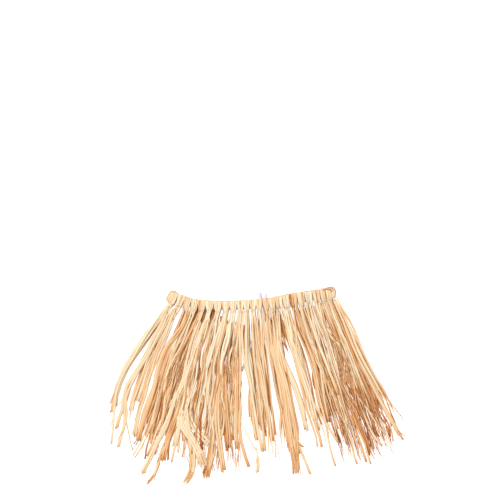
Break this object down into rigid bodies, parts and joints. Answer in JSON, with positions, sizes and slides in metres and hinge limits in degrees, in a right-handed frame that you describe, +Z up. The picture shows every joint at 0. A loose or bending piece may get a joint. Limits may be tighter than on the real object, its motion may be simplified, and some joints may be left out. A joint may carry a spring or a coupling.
{
  "type": "grass skirt",
  "caption": "Raffia grass skirt, hanks of dried palm fibre hitched side by side onto a white tie-on elastic waistband, laid flat and fanned out, front over back",
  "frame": {"origin": "on the plane the laid-flat skirt rests on, under the middle of its outline", "axes": "+Z up from the table, +X along the waistband towards its right end seen from above, +Y up the skirt towards the waist, so the hem points to -Y"},
  "size_m": [0.605, 0.3982, 0.0176],
  "materials": {
    "elastic": "woven flat elastic, matt white",
    "wound_raffia": "raffia wound in hitched knots, satin straw",
    "raffia": "loose raffia strips, satin straw with lengthwise fibres",
    "inner_raffia": "raffia of the back layer, the same fibre in shade"
  },
  "bodies": {
    "root": {"waist_elastic": "elastic", "front_knots": "wound_raffia", "back_knots": "wound_raffia", "left_end_knot": "wound_raffia", "right_end_knot": "wound_raffia", "tie_ears": "elastic", "tie_tail_long": "elastic", "tie_tail_short": "elastic", "back_hank_01": "inner_raffia", "back_hank_02": "inner_raffia", "back_hank_03": "inner_raffia", "back_hank_04": "inner_raffia", "back_hank_05": "inner_raffia", "back_hank_06": "inner_raffia", "back_hank_07": "inner_raffia", "back_hank_08": "inner_raffia", "back_hank_09": "inner_raffia", "back_hank_10": "inner_raffia", "back_hank_11": "inner_raffia", "back_hank_12": "inner_raffia", "back_hank_13": "inner_raffia", "back_hank_14": "inner_raffia", "back_hank_15": "inner_raffia", "back_hank_16": "inner_raffia", "back_hank_17": "inner_raffia", "back_hank_18": "inner_raffia", "back_hank_19": "inner_raffia", "back_hank_20": "inner_raffia", "back_hank_21": "inner_raffia", "back_hank_22": "inner_raffia", "back_hank_23": "inner_raffia", "back_hank_24": "inner_raffia", "front_hank_01": "raffia", "front_hank_02": "raffia", "front_hank_03": "raffia", "front_hank_04": "raffia", "front_hank_05": "raffia", "front_hank_06": "raffia", "front_hank_07": "raffia", "front_hank_08": "raffia", "front_hank_09": "raffia", "front_hank_10": "raffia", "front_hank_11": "raffia", "front_hank_12": "raffia", "front_hank_13": "raffia", "front_hank_14": "raffia", "front_hank_15": "raffia", "front_hank_16": "raffia", "front_hank_17": "raffia", "front_hank_18": "raffia", "front_hank_19": "raffia", "front_hank_20": "raffia", "front_hank_21": "raffia", "front_hank_22": "raffia", "front_hank_23": "raffia", "front_hank_24": "raffia"}
  },
  "joints": []
}
